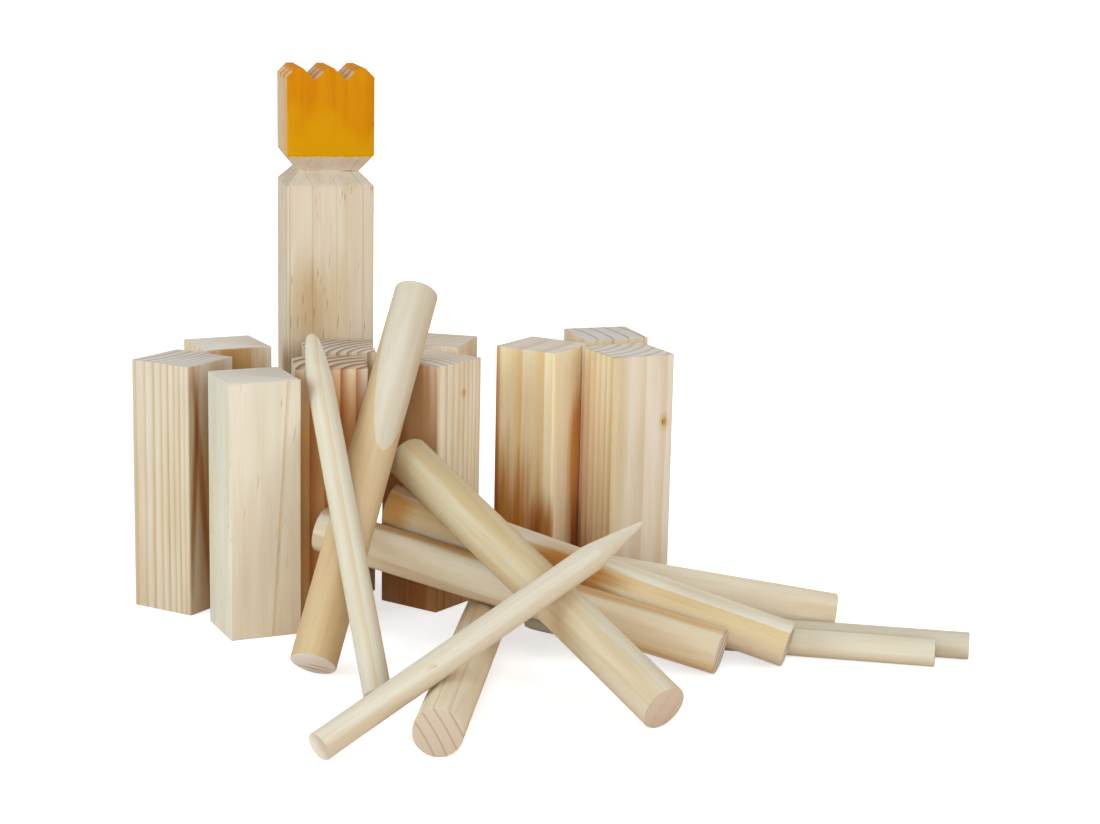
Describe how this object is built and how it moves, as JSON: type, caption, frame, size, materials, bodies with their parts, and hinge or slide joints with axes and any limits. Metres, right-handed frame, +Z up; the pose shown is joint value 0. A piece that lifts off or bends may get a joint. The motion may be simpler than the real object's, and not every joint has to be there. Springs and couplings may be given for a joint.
{
  "type": "kubb lawn game set",
  "caption": "Wooden lawn throwing game in a loose pile: a tall crowned king, square blocks standing round it, and turned batons and pointed field stakes lying and leaning against them.",
  "frame": {"origin": "middle of the king's base, on the ground", "axes": "+Z up, -Y the way the king's front face looks, +X to the right of someone facing that face; the king's sides lie along X and Y"},
  "size_m": [0.5678, 0.4887, 0.389],
  "materials": {
    "king_pine": "sawn pine, painted orange-yellow on the crowned head",
    "kubb_pine": "planed untreated pine",
    "baton_pine": "turned untreated pine",
    "stake_pine": "turned untreated pine"
  },
  "bodies": {
    "king": {"king": "king_pine"},
    "kubb_1": {"kubb_1": "kubb_pine"},
    "kubb_2": {"kubb_2": "kubb_pine"},
    "kubb_3": {"kubb_3": "kubb_pine"},
    "kubb_4": {"kubb_4": "kubb_pine"},
    "kubb_5": {"kubb_5": "kubb_pine"},
    "kubb_6": {"kubb_6": "kubb_pine"},
    "kubb_7": {"kubb_7": "kubb_pine"},
    "kubb_8": {"kubb_8": "kubb_pine"},
    "kubb_9": {"kubb_9": "kubb_pine"},
    "kubb_10": {"kubb_10": "kubb_pine"},
    "baton_1": {"baton_1": "baton_pine"},
    "baton_2": {"baton_2": "baton_pine"},
    "baton_3": {"baton_3": "baton_pine"},
    "baton_4": {"baton_4": "baton_pine"},
    "baton_5": {"baton_5": "baton_pine"},
    "baton_6": {"baton_6": "baton_pine"},
    "stake_1": {"stake_1": "stake_pine"},
    "stake_2": {"stake_2": "stake_pine"},
    "stake_3": {"stake_3": "stake_pine"},
    "stake_4": {"stake_4": "stake_pine"}
  },
  "joints": [
    {"name": "king_lift", "type": "slide", "parent": "kubb_6", "child": "king", "axis": [0, 0, 1], "range_m": [0, 0.2]},
    {"name": "kubb_1_lift", "type": "slide", "parent": "kubb_6", "child": "kubb_1", "axis": [0, 0, 1], "range_m": [0, 0.2]},
    {"name": "kubb_2_lift", "type": "slide", "parent": "kubb_6", "child": "kubb_2", "axis": [0, 0, 1], "range_m": [0, 0.2]},
    {"name": "kubb_3_lift", "type": "slide", "parent": "kubb_6", "child": "kubb_3", "axis": [0, 0, 1], "range_m": [0, 0.2]},
    {"name": "kubb_4_lift", "type": "slide", "parent": "kubb_6", "child": "kubb_4", "axis": [0, 0, 1], "range_m": [0, 0.2]},
    {"name": "kubb_5_lift", "type": "slide", "parent": "kubb_6", "child": "kubb_5", "axis": [0, 0, 1], "range_m": [0, 0.2]},
    {"name": "kubb_7_lift", "type": "slide", "parent": "kubb_6", "child": "kubb_7", "axis": [0, 0, 1], "range_m": [0, 0.45]},
    {"name": "kubb_8_lift", "type": "slide", "parent": "kubb_6", "child": "kubb_8", "axis": [0, 0, 1], "range_m": [0, 0.2]},
    {"name": "kubb_9_lift", "type": "slide", "parent": "kubb_6", "child": "kubb_9", "axis": [0, 0, 1], "range_m": [0, 0.2]},
    {"name": "kubb_10_lift", "type": "slide", "parent": "kubb_6", "child": "kubb_10", "axis": [0, 0, 1], "range_m": [0, 0.2]},
    {"name": "stake_1_lift", "type": "slide", "parent": "kubb_4", "child": "stake_1", "axis": [0, 0, 1], "range_m": [0, 0.25]},
    {"name": "baton_1_draw", "type": "slide", "parent": "kubb_6", "child": "baton_1", "axis": [0.3256, 0.5899, 0.7389], "range_m": [0, 0.3]},
    {"name": "baton_5_draw", "type": "slide", "parent": "kubb_6", "child": "baton_5", "axis": [-0.3107, -0.9505, 0], "range_m": [0, 0.32]},
    {"name": "stake_3_draw", "type": "slide", "parent": "kubb_6", "child": "stake_3", "axis": [0.9164, -0.4003, 0], "range_m": [0, 0.3]},
    {"name": "stake_4_draw", "type": "slide", "parent": "kubb_6", "child": "stake_4", "axis": [0.9198, -0.3923, 0], "range_m": [0, 0.3]},
    {"name": "baton_6_draw", "type": "slide", "parent": "kubb_6", "child": "baton_6", "axis": [0.9592, -0.0501, 0.2782], "range_m": [0, 0.3]},
    {"name": "baton_2_lift_off", "type": "slide", "parent": "kubb_6", "child": "baton_2", "axis": [0.828, -0.0967, 0.5523], "range_m": [0, 0.3]},
    {"name": "baton_4_lift_off", "type": "slide", "parent": "baton_2", "child": "baton_4", "axis": [0.5273, -0.5594, 0.6396], "range_m": [0, 0.3]},
    {"name": "baton_3_lift_off", "type": "slide", "parent": "baton_4", "child": "baton_3", "axis": [0.5091, -0.6709, 0.5392], "range_m": [0, 0.3]},
    {"name": "stake_2_lift", "type": "slide", "parent": "baton_3", "child": "stake_2", "axis": [0, 0, 1], "range_m": [0, 0.25]}
  ]
}
